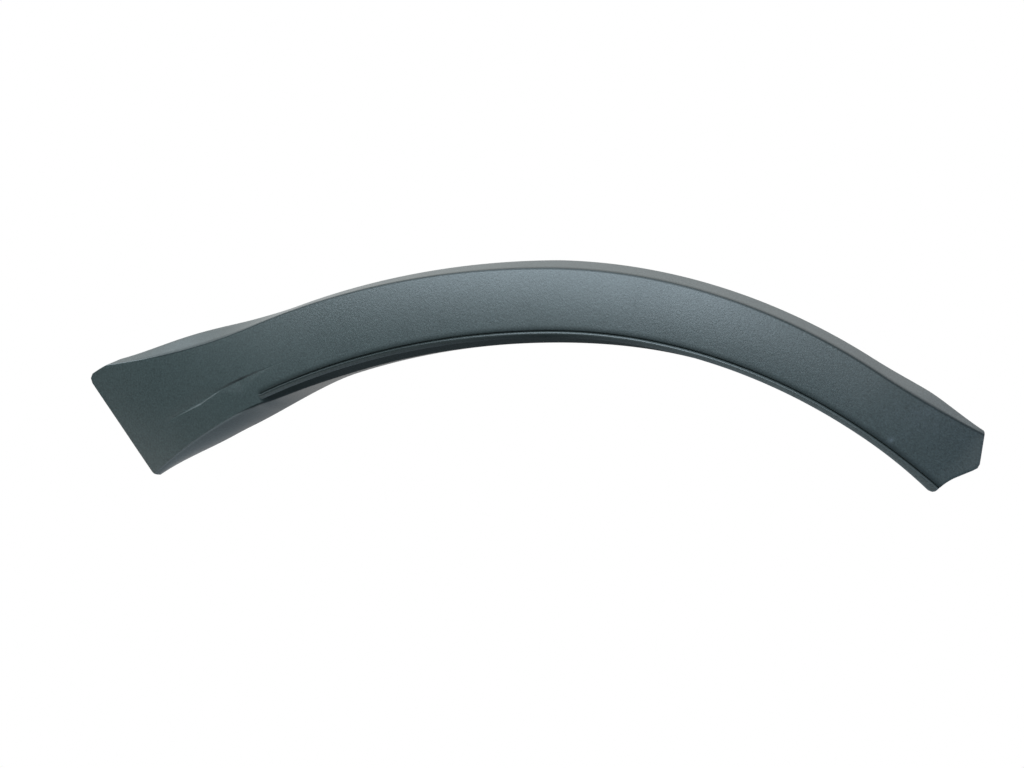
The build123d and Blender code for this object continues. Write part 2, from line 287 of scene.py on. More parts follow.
# Columns of a section
# Roundings from the lip to the bead's root, the lower fold's rounding, which grows past the bead's
# start, and a rounding's least reach and its largest share of the shorter run beside it
BEAD_RADII = (0.00035, 0.0002, 0.0007, 0.0008, 0.0004, 0.0003, 0.0003)
LOW_RADIUS, LOW_RADIUS_GAIN, LOW_RADIUS_BLEND = 0.0007, 0.0013, 0.02
LEAST_REACH, REACH_SHARE = 0.00002, 0.45
# columns on the face above, beside and below the crease, and their offsets from the crease and the lip
ABOVE_COLUMNS, ABOVE_POWER, ABOVE_TO = 14, 1.5, 0.0016
BESIDE_COLUMNS, BESIDE_FROM, BESIDE_TO = 19, 0.0012, -0.0042
BELOW_COLUMNS, BELOW_FROM, BELOW_TO = 8, -0.0048, 0.0006
# points on each corner's rounding and inside each run of the skin
ARC_POINTS = (1, 4, 6, 4, 3, 4, 4, 3, 3, 3, 7, 4, 1)
RUN_POINTS = {
    "edge": 0,
    "bevel": 4,
    "face": ABOVE_COLUMNS + BESIDE_COLUMNS + BELOW_COLUMNS,
    "notch": 1,
    "crown": 1,
    "top": 1,
    "front": 1,
    "tip": 0,
    "under": 1,
    "return": 5,
    "flange": 12,
    "free": 0,
}
# columns of the fold's and the lip's rounding that lie on the face
FOLD_ON_FACE, LIP_ON_FACE = 3, 2
# hollow side: roundings, points on them, and points inside its bevel; its return takes what is left
INNER_RADII, INNER_ARC_POINTS, INNER_BEVEL_POINTS = (0, 0.0006, 0.0006, 0.001, 0), (1, 3, 3, 4, 1), 11


def held(share):
    """Share held between 0 and 1."""
    return np.clip(share, 0, 1)


def ease_out(share):
    """Rises from 0 to 1 and levels off: 1 - (1 - share) squared."""
    return 1 - (1 - held(share)) ** 2


def smooth(share):
    """Rises from 0 to 1, level at both ends: 3 share squared - 2 share cubed."""
    return held(share) ** 2 * (3 - 2 * held(share))


def pair(offset, height):
    """Points of a section as offset and height, in one array."""
    return np.stack(np.broadcast_arrays(offset, height), axis=-1).astype(float)


def unit(way):
    """Directions of length 1."""
    return way / np.maximum(np.linalg.norm(way, axis=-1, keepdims=True), 1e-9)


def outward(way):
    """Outward side of a run of the skin that goes along a direction."""
    return np.stack((way[..., 1], -way[..., 0]), axis=-1)


def place(form, station, offset, height):
    """Points in the frame: the lip is an arc seen from the front, the offset is radial to it, and the
    panel bows back as a parabola along X."""
    radius = np.where(station < 0, form.lip_radius_tail, form.lip_radius_nose)
    angle = station / radius
    x = (radius + offset) * np.sin(angle)
    y = (radius * np.sin(angle)) ** 2 / (2 * form.body_plan_radius) - height
    z = -LIP_BELOW_CLIP - radius * (1 - np.cos(angle)) + offset * np.cos(angle)
    return np.stack(np.broadcast_arrays(x, y, z), axis=-1)


def fold_offset(form, station):
    """Offset of the upper fold: the face narrows towards the nose and flares as a parabola at both ends."""
    taper = np.where(station < 0, FACE_TAPER_TAIL, FACE_TAPER_NOSE)
    tail = np.maximum(0, (TAIL_FLARE_STATION - station) / (TAIL_FLARE_STATION - TAIL_STATION))
    nose = np.maximum(0, (station - NOSE_FLARE_STATION) / (NOSE_STATION - NOSE_FLARE_STATION))
    return form.face_width - taper * station + TAIL_FLARE * tail**2 + NOSE_FLARE * nose**2


def heights(form, station):
    """Heights of the upper fold and of the lip, which sink to the ends as parabolas and go on sinking
    past the nose."""
    tail = ease_out((station - TAIL_STATION) / TAIL_RAMP)
    share = (NOSE_STATION - station) / NOSE_RAMP
    past = np.minimum(share, 0)
    nose = ease_out(share) + NOSE_FALL * past + NOSE_FALL_GAIN * past**2
    fold = END_RISE + (form.fold_rise - END_RISE) * tail * nose
    lip = END_RISE + (form.lip_rise - END_RISE) * tail * (NOSE_LIP_SHARE + (1 - NOSE_LIP_SHARE) * nose)
    return fold, lip


def face_height(form, station, offset):
    """Height of the face: a straight lean from lip to fold plus a crown of 4 share (1 - share)."""
    share = offset / fold_offset(form, station)
    fold, lip = heights(form, station)
    return lip + (fold - lip) * share + 4 * form.face_crown * share * (1 - share)


def skin_corners(form, station):
    """Corners of the outer skin: outer edge, upper fold, lip, lower fold and flange edge.

    The bevel narrows evenly from the crown and swells as a squared sine on the tail; the lower fold steps
    and drops past the bead's start, and the flange's edge rolls in under the tail, by smooth blends."""
    fold_at = fold_offset(form, station)
    fold_high, lip_high = heights(form, station)
    bevel = np.maximum(form.bevel_width - BEVEL_TAPER * np.abs(station), BEVEL_LEAST)
    bevel = bevel + TAIL_BEVEL * np.sin(np.pi * held((TAIL_BEVEL_START - station) / TAIL_BEVEL_LENGTH)) ** 2
    from_nose = station - NOSE_STATION
    bevel = bevel + NOSE_BEVEL_GAIN * smooth((from_nose + NOSE_BEVEL_GAIN_LEAD) / NOSE_BEVEL_BLEND)
    bevel = bevel - NOSE_BEVEL_LOSS * smooth((from_nose + NOSE_BEVEL_LOSS_LEAD) / NOSE_BEVEL_BLEND)
    tail = smooth((BEAD_START + RETURN_TAIL_LEAD - station) / RETURN_TAIL_BLEND)
    nose = smooth(station / RETURN_NOSE_BLEND)
    low_at = RETURN_OFFSET + (RETURN_OFFSET_TAIL - RETURN_OFFSET) * tail
    low_at = low_at + (RETURN_OFFSET_NOSE - RETURN_OFFSET) * nose
    step = RETURN_STEP * smooth((station - BEAD_START + RETURN_STEP_LEAD) / RETURN_STEP_BLEND)
    drop = RETURN_DROP * smooth((station - BEAD_START) / RETURN_DROP_BLEND)
    roll = ROLL * smooth((ROLL_START - station) / ROLL_BLEND)
    roll = roll - ROLL_LOSS * smooth((ROLL_LOSS_START - station) / (ROLL_LOSS_START - TAIL_STATION))
    reach = -FLANGE_REACH * smooth((station - FLANGE_START) / FLANGE_BLEND)
    return [
        pair(fold_at + bevel, 0 * station),
        pair(fold_at, fold_high),
        pair(0 * station, lip_high),
        pair(low_at, face_height(form, station, low_at) - step - drop),
        pair(FLANGE_EDGE_OFFSET - roll, reach),
    ]


def inner_corners(skin, depth):
    """Corners of the skin with each run moved in by a depth, cut off level with the skin's two edges."""
    ways = [unit(end - start) for start, end in zip(skin, skin[1:])]
    sides = [-outward(way) for way in ways]
    corners = []
    for corner, side, other in zip(skin[1:], sides, sides[1:]):
        spread = 1 + np.sum(side * other, axis=-1, keepdims=True)
        corners.append(corner + (side + other) * depth / spread)
    first = corners[0] - ways[0] * ((corners[0][:, 1:] - skin[0][:, 1:]) / ways[0][:, 1:])
    last = corners[-1] - ways[-1] * ((corners[-1][:, 1:] - skin[-1][:, 1:]) / ways[-1][:, 1:])
    return [first] + corners + [last]


def crossing(start, end, other_start, other_end):
    """Point where two straight runs of each section cross."""
    way, other = end - start, other_end - other_start
    gap = other_start - start
    turn = way[:, 0] * other[:, 1] - way[:, 1] * other[:, 0]
    share = (gap[:, 0] * other[:, 1] - gap[:, 1] * other[:, 0]) / turn
    return start + way * held(share)[:, None]


def bead_shown(station):
    """0 before the bead's start and 1 past it."""
    return smooth((station - BEAD_START + BEAD_LEAD) / BEAD_BLEND)


def bead_corners(form, station, lip, low):
    """Corners of the lip bead and of the grooves on both its sides; before its start they lie flat on
    the return."""
    share = np.maximum(0, (station - NOSE_BEAD_START) / (NOSE_STATION - NOSE_BEAD_START))
    gain = NOSE_BEAD_GAIN * share**2
    width = form.bead_width + gain
    crown = lip + (BEAD_CROWN, form.bead_proud)
    shoulder = lip + pair(-BEAD_SHOULDER_SHARE * form.bead_width - gain, form.bead_proud - BEAD_LEAN)
    nose = lip + pair(-width, -BEAD_TIP / 2)
    under = lip + pair(BEAD_TIP / 3 - width, -BEAD_TIP)
    notch = crossing(lip, low, lip + (0, -NOTCH_DEPTH), crown)
    root = crossing(lip, low, under, lip + ROOT_AIM)
    side = outward(unit(low - lip))
    shown = bead_shown(station)[:, None]
    corners = []
    for point, share in zip((notch, crown, shoulder, nose, under, root), FLAT_SHARES):
        clear = np.sum((point - lip) * side, axis=-1, keepdims=True)
        flat = lip + (low - lip) * share
        corners.append(flat + (point + side * np.maximum(0, -clear) - flat) * shown)
    return corners


def rounded_profile(corners, radii, arcs, runs):
    """Points of a broken line with rounded corners, for all sections at once, and the columns of each run.

    A corner gives way to a parabola that touches both runs at radius / tan(half the angle) from it,
    drawn with as many points as arcs says; between two corners lie points at the shares in runs."""
    enter, leave = [corners[0]], [corners[0]]
    for index in range(1, len(corners) - 1):
        corner = corners[index]
        back, forth = corners[index - 1] - corner, corners[index + 1] - corner
        cosine = np.sum(unit(back) * unit(forth), axis=-1, keepdims=True)
        half = np.arccos(np.clip(cosine, -1, 1)) / 2
        room = np.minimum(np.linalg.norm(back, axis=-1), np.linalg.norm(forth, axis=-1))[:, None]
        reach = np.clip(radii[index] / np.tan(half), LEAST_REACH, REACH_SHARE * room)
        enter.append(corner + unit(back) * reach)
        leave.append(corner + unit(forth) * reach)
    enter.append(corners[-1])
    leave.append(corners[-1])
    columns, slices, count = [corners[0][:, None]], [], 1
    for index, shares in enumerate(runs):
        start, end = leave[index][:, None], enter[index + 1][:, None]
        shares = np.broadcast_to(shares, (len(corners[0]), np.shape(shares)[-1]))[..., None]
        columns.append(start + (end - start) * shares)
        slices.append(slice(count, count + shares.shape[1]))
        points = arcs[index + 1]
        turn = np.linspace(0, 1, points)[None, :, None] if points > 1 else np.ones((1, 1, 1))
        corner, out = corners[index + 1][:, None], leave[index + 1][:, None]
        columns.append((1 - turn) ** 2 * end + 2 * turn * (1 - turn) * corner + turn**2 * out)
        count += shares.shape[1] + points
    return np.concatenate(columns, axis=1), slices


def inside_shares(count):
    """Even shares of a run without its ends."""
    return np.linspace(0, 1, count + 2)[1:-1]


def crease_line(station):
    """Offset of the crease, which slants towards the lip until it ends on the arch."""
    return CREASE_OFFSET - CREASE_SLANT * (np.minimum(station, DOWN_LEDGE[2]) - CREASE_MIDDLE)


def crease_strength(station, ledge, fades):
    """1 where a ledge of the crease is deepest, down to 0 at its ends with a power of the way left."""
    first, deepest, last = ledge
    before = held((station - first) / (deepest - first)) ** fades[0]
    return np.where(station < deepest, before, held((last - station) / (last - deepest)) ** fades[1])


def crease_cut(form, station, offset):
    """Depth of the feathered crease: a ramp of even slope down to a line, and from there a ledge that
    rises as a parabola to a sharp edge, below the line on the tail and above it on the arch."""
    line = crease_line(station)
    cut = np.zeros(np.broadcast(station, offset).shape)
    for ledge, side, slope, fades in (
        (UP_LEDGE, -1, UP_LEDGE_SLOPE, UP_LEDGE_FADES),
        (DOWN_LEDGE, 1, DOWN_LEDGE_SLOPE, DOWN_LEDGE_FADES),
    ):
        depth = form.crease_depth * crease_strength(station, ledge, fades)
        across = side * (offset - line)
        reach = np.maximum(2 * depth / slope, 1e-6)
        parabola = depth * (1 - (across / reach) ** 2)
        cut = np.maximum(cut, np.where(across > 0, parabola, depth + RAMP_SLOPE * across))
    return cut


def face_columns(form, station, fold):
    """Offsets of the face's columns: wider and wider from the fold to the crease, close beside the
    crease, and even from there to the lip."""
    crease = crease_line(station)
    start = fold[:, :1] - form.fold_radius
    shares = np.linspace(0, 1, ABOVE_COLUMNS) ** ABOVE_POWER
    above = start + (crease[:, None] + ABOVE_TO - start) * shares
    beside = crease[:, None] + np.linspace(BESIDE_FROM, BESIDE_TO, BESIDE_COLUMNS)
    below = np.linspace(crease + BELOW_FROM, np.full(len(station), BELOW_TO), BELOW_COLUMNS).T
    return np.concatenate((above, beside, below), axis=1)


def add_crown(form, profile, columns, fold):
    """Bows columns of the face by a crown of 4 share (1 - share) between lip and fold."""
    share = held(profile[:, columns, 0] / fold[:, :1])
    profile[:, columns, 1] += 4 * form.face_crown * share * (1 - share)


def flange_bulge(station, low, free):
    """Way by which the middle of the flange bulges, which grows to the roll under the tail."""
    roll = ROLL_BULGE * smooth((ROLL_BULGE_START - station) / ROLL_BULGE_BLEND)
    bulge = FLANGE_BULGE + roll * ease_out((station - TAIL_STATION) / TAIL_RAMP)
    return outward(unit(free - low)) * bulge[:, None]


def section_tables(form, station):
    """Outer and inner profile at each station, as offset and height and with as many columns each, and
    the columns of each run of the outer one."""
    skin = skin_corners(form, station)
    inner = inner_corners(skin, form.wall)
    edge, fold, lip, low, free = skin
    across = face_columns(form, station, fold)
    corners = [(edge + inner[0]) / 2, edge, fold, lip] + bead_corners(form, station, lip, low)
    corners += [low, free, (free + inner[-1]) / 2]
    turned = LOW_RADIUS + LOW_RADIUS_GAIN * smooth((station - BEAD_START) / LOW_RADIUS_BLEND)[:, None]
    radii = [0, form.edge_radius, form.fold_radius, *BEAD_RADII, turned, form.edge_radius, 0]
    shares = [inside_shares(count) for count in RUN_POINTS.values()]
    outer, slices = rounded_profile(corners, radii, ARC_POINTS, shares)
    runs = dict(zip(RUN_POINTS, slices))
    outer[:, runs["face"]] = pair(across, lip[:, 1:] + (fold - lip)[:, 1:] * across / fold[:, :1])
    face = slice(runs["face"].start - FOLD_ON_FACE, runs["face"].stop + LIP_ON_FACE)
    add_crown(form, outer, face, fold)
    outer[:, face, 1] -= crease_cut(form, station[:, None], outer[:, face, 0])
    flange = inside_shares(RUN_POINTS["flange"])
    bulge = flange_bulge(station, low, free)[:, None] * (4 * flange * (1 - flange))[:, None]
    outer[:, runs["flange"]] += bulge
    # the face's columns keep the skin's offsets, so that the walls at the ends run straight across
    level = held(1 - across / fold[:, :1])
    taken = sum(INNER_ARC_POINTS) + INNER_BEVEL_POINTS + across.shape[1] + len(flange)
    shares = [inside_shares(INNER_BEVEL_POINTS), level, inside_shares(outer.shape[1] - taken), flange]
    hollow, inner_slices = rounded_profile(inner, INNER_RADII, INNER_ARC_POINTS, shares)
    add_crown(form, hollow, inner_slices[1], fold)
    hollow[:, inner_slices[3]] += bulge
    return outer, hollow, runs


# The moulding as one closed surface

# table of sections: its step, its length past the ends, and stations that lie inside both ends
SECTION_STEP, END_ROOM, TAIL_INSIDE, NOSE_INSIDE = 0.0005, 0.026, -0.24, 0.21
# rows on the tail, at the bead's start and on the arch, and the power that leads them to the ends
TAIL_ROWS, BEAD_ROWS, ARCH_ROWS, ROW_POWER = 82, 46, 272, 8
BEAD_ROWS_START, BEAD_ROWS_END = -0.217, -0.197
# rows that round off the ends, by their way along the lip, and the gap kept inside an end's outline
END_ROWS, END_INSET = (0.0, 0.0001, 0.00025, 0.00045), 0.00003
# halvings to find an end, rounds to find the back plane, half a screw's block, and welding distance
HALVINGS, BACK_ROUNDS, SCREW_BLOCK, WELD = 40, 5, 3, 0.0000005
SHARP_ANGLE = math.radians(38)
# share of painted shade and lost gloss in zones of the skin; pairs are a station and the share there
# painted shade: where shade falls, along the fold, on the crease's lower ledge, near and under the bead, on
# the lower fold and on the flange, the colour is drawn darker and with less shine; the back keeps a small
# share all over
BACK_MATT = 0.2
FOLD_SHADE, FOLD_SHADE_START, FOLD_SHADE_BLEND = 0.7, -0.300, 0.030
NEAR_BEAD_SHADE, NEAR_BEAD_REACH = 0.75, 0.0035
LEDGE_SHADE, LEDGE_SHADE_MIDDLE, LEDGE_SHADE_BLEND, LEDGE_SHADE_BLENDS = 0.85, 0.0005, 0.0006, 1.5
WEDGE_LEAD, WEDGE_BLEND = 0.030, 0.020
BEAD_TOP_SHADE = ((-0.10, 0.8), (-0.02, 0.25), (0.10, 0.0))
BEAD_FRONT_SHADE = ((-0.20, 0.35), (0.0, 1.0), (0.06, 0.6), (0.13, 0.0))
FLANGE_SHADE = ((-0.30, 0.2), (-0.25, 0.4), (BEAD_START, 0.6), (-0.15, 1.0))
# dark smudges and a pale scuff from handling, and last a broad faint lightening of the nose: X, Z, radius
# along X and along Z, and strength
SMUDGES = (
    (-0.0134, -0.0092, 0.0070, 0.0030, 0.5),
    (0.0573, -0.0110, 0.0020, 0.0080, 0.4),
    (-0.0100, -0.0210, 0.0070, 0.0015, 0.5),
)
SCUFFS = ((0.2156, -0.0898, 0.0024, 0.0016, 0.35), (0.2300, -0.0760, 0.0200, 0.0100, 0.06))


def plan(form, spot):
    """Place seen from the front, as X and Z, of a station and offset."""
    return place(form, np.array(spot[0]), np.array(spot[1]), 0.0)[..., (0, 2)]


def left_of(points, start, end):
    """Distance of points, as X and Z, to the left of a straight line."""
    way = unit(end - start)
    gap = points - start
    return way[0] * gap[..., 1] - way[1] * gap[..., 0]


def rounding(one, other, cosine, radius):
    """Distance inside a rounded corner from the distances inside its two edges, and where it holds.

    It holds between the two normals at its centre, where the distance is the radius less that from
    the centre."""
    by_one, by_other = radius - one, radius - other
    square = by_one**2 + by_other**2 - 2 * cosine * by_one * by_other
    from_centre = np.sqrt(np.maximum(0, square) / (1 - cosine**2))
    return radius - from_centre, (by_one > cosine * by_other) & (by_other > cosine * by_one)


def rounded_corner(points, start, corner, end, radius):
    """How far points lie inside a rounded outward corner of an outline that runs from start to end."""
    one, other = left_of(points, start, corner), left_of(points, corner, end)
    inside, between = rounding(one, other, np.dot(unit(corner - start), unit(end - corner)), radius)
    return np.where(between, inside, np.minimum(one, other))


def filled_corner(points, start, corner, end, radius):
    """How far points lie inside the rounding of an inward corner; far outside where it doesn't hold."""
    one, other = left_of(points, start, corner), left_of(points, corner, end)
    outside, between = rounding(-one, -other, np.dot(unit(corner - start), unit(end - corner)), radius)
    return np.where(between, -outside, -1.0)


def within_tail(form, points):
    """How far points lie inside the tail end's outline, which is cut straight back along Y."""
    points = points[..., (0, 2)]
    spots = (TAIL_SHOULDER, TAIL_TOP, TAIL_LOW, TAIL_WAIST)
    shoulder, top, low, waist = [plan(form, spot) for spot in spots]
    upper = rounded_corner(points, shoulder, top, low, TAIL_TOP_RADIUS)
    return np.minimum(upper, rounded_corner(points, top, low, waist, TAIL_LOW_RADIUS))


def within_nose(form, points):
    """How far points lie inside the nose end's outline, which is hollow between its tooth and the tip
    of the lip, and leans in towards the back."""
    points = np.stack((points[..., 0] + NOSE_LEAN * points[..., 1], points[..., 2]), axis=-1)
    spots = (LIP_FOOT, LIP_HEEL, LIP_TIP, NOSE_WAIST, NOSE_TOOTH, NOSE_TOP, NOSE_SHOULDER)
    foot, heel, tip, waist, tooth, top, shoulder = [plan(form, spot) for spot in spots]
    lower = left_of(points, foot, heel)
    lower = np.maximum(lower, rounded_corner(points, heel, tip, waist, LIP_TIP_RADIUS))
    lower = np.maximum(lower, filled_corner(points, tip, waist, tooth, NOSE_WAIST_RADIUS))
    lower = np.maximum(lower, rounded_corner(points, waist, tooth, top, NOSE_TOOTH_RADIUS))
    return np.minimum(lower, rounded_corner(points, tooth, top, shoulder, NOSE_TOP_RADIUS))


def at_stations(table, first, station):
    """Offset and height of each column of a table of sections, in line between its sections."""
    row = np.clip((station - first) / SECTION_STEP, 0, len(table) - 1.001)
    under = row.astype(int)
    column = np.broadcast_to(np.arange(table.shape[1]), under.shape)
    share = (row - under)[..., None]
    return table[under, column] * (1 - share) + table[under + 1, column] * share


def end_stations(form, table, first, within, outside, inside, inset):
    """Station at which each column of a table of sections reaches an end's outline, found by halving."""
    out = np.full(table.shape[1], outside)
    into = np.full(table.shape[1], inside)
    for _ in range(HALVINGS):
        middle = (out + into) / 2
        spots = at_stations(table, first, middle)
        clear = within(form, place(form, middle, spots[:, 0], spots[:, 1])) > inset
        out, into = np.where(clear, out, middle), np.where(clear, middle, into)
    return into


def row_stations(tail, nose):
    """Stations of every row and column: even along the strip, closer at the bead's start, and led to
    the ends' outlines with a power of the way left to the other end."""
    base = np.concatenate(
        (
            np.linspace(TAIL_STATION, BEAD_ROWS_START, TAIL_ROWS)[1:-1],
            np.linspace(BEAD_ROWS_START, BEAD_ROWS_END, BEAD_ROWS),
            np.linspace(BEAD_ROWS_END, NOSE_STATION, ARCH_ROWS)[1:-1],
        )
    )[:, None]
    way = (base - TAIL_STATION) / (NOSE_STATION - TAIL_STATION)
    middle = base + (tail - TAIL_STATION) * (1 - way) ** ROW_POWER
    middle = middle + (nose - NOSE_STATION) * way**ROW_POWER
    edge = np.array(END_ROWS)[:, None]
    return np.concatenate((tail + edge, middle, nose - edge[::-1]))


def strip_grid(form):
    """Stations, and offsets and heights, of the rows and columns of the skin and of the hollow side,
    and the columns of each run. At both ends the skin drops over a quarter circle to its edge."""
    first = TAIL_STATION - END_ROOM
    station = np.arange(first, NOSE_STATION + END_ROOM, SECTION_STEP)
    outer, hollow, runs = section_tables(form, station)
    sides = []
    for table, inset in ((outer, END_INSET), (hollow, form.wall)):
        tail = end_stations(form, table, first, within_tail, first, TAIL_INSIDE, inset)
        nose = end_stations(form, table, first, within_nose, station[-1], NOSE_INSIDE, inset)
        rows = row_stations(tail, nose)
        sides.append((rows, at_stations(table, first, rows)))
    radius, count = form.edge_radius, len(END_ROWS)
    edge = np.array(END_ROWS)[:, None]
    drop = radius - np.sqrt(np.maximum(0, radius**2 - (radius - edge) ** 2))
    skin = sides[0][1]
    for part, lower in ((slice(0, count), drop), (slice(-count, None), drop[::-1])):
        skin[part, :, 1] -= np.minimum(lower, np.maximum(0, skin[part, :, 1]) / 2)
    return sides, runs


def behind(form, edge, inset, lean):
    """Points of the back plane behind an end's edge, along the lean of the end, or the flange's end
    where they would lie outside the flange. The back plane runs straight from the flange edge to the
    outer edge."""
    radius = form.lip_radius_nose if lean else form.lip_radius_tail
    points = edge.copy()
    for _ in range(BACK_ROUNDS):
        arm = points[:, 2] + LIP_BELOW_CLIP + radius
        station = radius * np.arctan2(points[:, 0], arm)
        offset = np.hypot(points[:, 0], arm) - radius
        corners = skin_corners(form, station)
        outer, free = corners[0], corners[-1]
        floor = free[:, 1] * (outer[:, 0] - offset) / (outer[:, 0] - free[:, 0])
        points[:, 1] = place(form, station, offset, floor)[:, 1]
        points[:, 0] = edge[:, 0] - lean * (points[:, 1] - edge[:, 1])
    past = offset < free[:, 0] + inset
    points[past] = edge[-1]
    return points


def grid_faces(index, closed):
    """Quads between neighbouring rows and columns of a grid of vertex numbers."""
    if closed:
        index = np.concatenate((index, index[:, :1]), axis=1)
    return np.stack((index[:-1, :-1], index[:-1, 1:], index[1:, 1:], index[1:, :-1]), axis=-1)


def bored(points, index, quads, block, centre, radius):
    """Ring of quads from the border of a block of the grid to a round hole along Z, with the rim's
    points added.

    The rim lies at equal radius from the hole's centre in X and Y, and in Z on the plane through the
    block."""
    rows, columns = block
    patch = index[rows, columns]
    border = np.concatenate((patch[0, :-1], patch[:-1, -1], patch[-1, :0:-1], patch[:0:-1, 0]))
    spots = points[patch.ravel()]
    base = np.column_stack((spots[:, :2], np.ones(len(spots))))
    plane = np.linalg.lstsq(base, spots[:, 2], rcond=None)[0]
    turn = np.arctan2(points[border, 1] - centre[1], points[border, 0] - centre[0])
    x, y = centre[0] + radius * np.cos(turn), centre[1] + radius * np.sin(turn)
    rim = np.stack((x, y, plane[0] * x + plane[1] * y + plane[2]), axis=1)
    numbers = len(points) + np.arange(len(border))
    ring = np.stack((border, np.roll(border, -1), np.roll(numbers, -1), numbers), axis=1)
    quads[rows.start : rows.stop - 1, columns.start : columns.stop - 1] = -1
    return np.concatenate((points, rim)), ring, numbers[np.argsort(turn)]


def screw_block(points, index, columns, centre):
    """Square block of rows and columns of the flange round a hole's centre."""
    spots = points[index[:, columns]]
    gap = np.hypot(spots[..., 0] - centre[0], spots[..., 1] - centre[1])
    row, column = np.unravel_index(np.argmin(gap), gap.shape)
    column += columns.start
    return [slice(middle - SCREW_BLOCK, middle + SCREW_BLOCK + 1) for middle in (row, column)]


def along(rows, knots):
    """Value at each row's stations, in straight lines between pairs of a station and a value."""
    return np.interp(rows, *zip(*knots))


def painted_shade_and_gloss_lost(rows, spots, runs):
    """Share of painted shade and lost gloss on the skin: where shade falls, along the fold, on the crease's
    ledge that faces down, towards the bead, in the bead's grooves, under the bead, on the lower fold and on
    the flange, the skin is drawn darker and with less shine.

    The bead's top is painted darker on the tail and shines on the arch, and its front is painted darker at
    the crown and shines towards the nose."""
    shown = bead_shown(rows)
    fold = FOLD_SHADE * smooth((rows - FOLD_SHADE_START) / FOLD_SHADE_BLEND)
    from_ledge = np.abs(spots[..., 0] - crease_line(rows) - LEDGE_SHADE_MIDDLE)
    ledge = LEDGE_SHADE * crease_strength(rows, DOWN_LEDGE, DOWN_LEDGE_FADES)
    ledge = ledge * smooth(LEDGE_SHADE_BLENDS - from_ledge / LEDGE_SHADE_BLEND)
    near_bead = NEAR_BEAD_SHADE * shown * smooth(1 - spots[..., 0] / NEAR_BEAD_REACH)
    wedge = smooth((rows - BEAD_START + WEDGE_LEAD) / WEDGE_BLEND)
    painted_shade_and_matt = np.zeros(rows.shape)
    for start, stop, share in (
        (runs["bevel"].stop, runs["face"].start, fold),
        (runs["face"].start, runs["notch"].start, np.maximum(ledge, near_bead)),
        (runs["notch"].start, runs["crown"].start, shown),
        (runs["crown"].start, runs["top"].start, shown * along(rows, BEAD_TOP_SHADE)),
        (runs["top"].start, runs["tip"].start, shown * along(rows, BEAD_FRONT_SHADE)),
        (runs["tip"].start, runs["return"].stop, shown),
        (runs["return"].stop, runs["flange"].start, wedge),
        (runs["flange"].start, rows.shape[1], along(rows, FLANGE_SHADE)),
    ):
        painted_shade_and_matt[:, start:stop] = share[:, start:stop]
    return painted_shade_and_matt


def worn(points, spots):
    """Strength of worn spots, each of which falls off as a bell curve along X and Z."""
    wear = np.zeros(len(points))
    for x, z, wide, high, strength in spots:
        wear += strength * np.exp(-(((points[:, 0] - x) / wide) ** 2) - ((points[:, 2] - z) / high) ** 2)
    return wear


def moulding_surface(form):
    """Points and quads of the moulding, and the share of painted shade and lost gloss at each point.

    It is a grid of sections along the strip, closed round each section and by a skirt and a sill at
    both ends, with the two screw holes bored through the flange."""
    ((outer_rows, outer), (inner_rows, inner)), runs = strip_grid(form)
    skin = place(form, outer_rows, outer[..., 0], outer[..., 1])
    hollow = place(form, inner_rows, inner[..., 0], inner[..., 1])
    rows, columns = outer_rows.shape
    points = np.concatenate((skin, hollow[:, ::-1]), axis=1).reshape(-1, 3)
    index = np.arange(len(points)).reshape(rows, 2 * columns)
    quads = grid_faces(index, True)
    faces = []
    back = np.full((rows, columns), BACK_MATT)
    painted_shade_and_matt = np.concatenate((painted_shade_and_gloss_lost(outer_rows, outer, runs), back), axis=1)
    for row, lean in ((0, 0.0), (rows - 1, NOSE_LEAN)):
        sill = behind(form, skin[row], 0.0, lean)
        inner_sill = behind(form, hollow[row], form.wall, lean)
        numbers = len(points) + np.arange(2 * columns).reshape(2, columns)
        points = np.concatenate((points, sill, inner_sill))
        ring = index[row : row + 1]
        skirt = np.concatenate((ring[:, :columns], numbers, ring[:, : columns - 1 : -1]))
        faces += [grid_faces(skirt, False).reshape(-1, 4), skirt.T[[0, -1]]]
    hollow_flange = slice(columns + 1, columns + 1 + RUN_POINTS["flange"])
    for x in (-SCREW_SPACING / 2, SCREW_SPACING / 2):
        centre = (x, x**2 / (2 * form.body_plan_radius) - SCREW_HEIGHT)
        rims = []
        for side in (runs["flange"], hollow_flange):
            block = screw_block(points, index, side, centre)
            points, ring, rim = bored(points, index, quads, block, centre, SCREW_RADIUS)
            faces.append(ring)
            rims.append(rim)
        faces.append(np.stack((rims[0], np.roll(rims[0], -1), np.roll(rims[1], -1), rims[1]), axis=1))
    faces.append(quads[quads[..., 0] >= 0])
    painted_shade_and_matt = np.concatenate((painted_shade_and_matt.ravel(), np.full(len(points) - painted_shade_and_matt.size, BACK_MATT)))
    return points, np.concatenate(faces).tolist(), painted_shade_and_matt


# Clip towers and gussets on the hollow side


def prism(low, high, points, faces):
    """Adds a solid between two like outlines to lists of points and faces."""
    ends = len(points) + np.arange(2 * len(low)).reshape(2, -1)
    points += low.tolist() + high.tolist()
    faces += [ends[0, ::-1].tolist(), ends[1].tolist()]
    faces += grid_faces(ends, True).reshape(-1, 4).tolist()


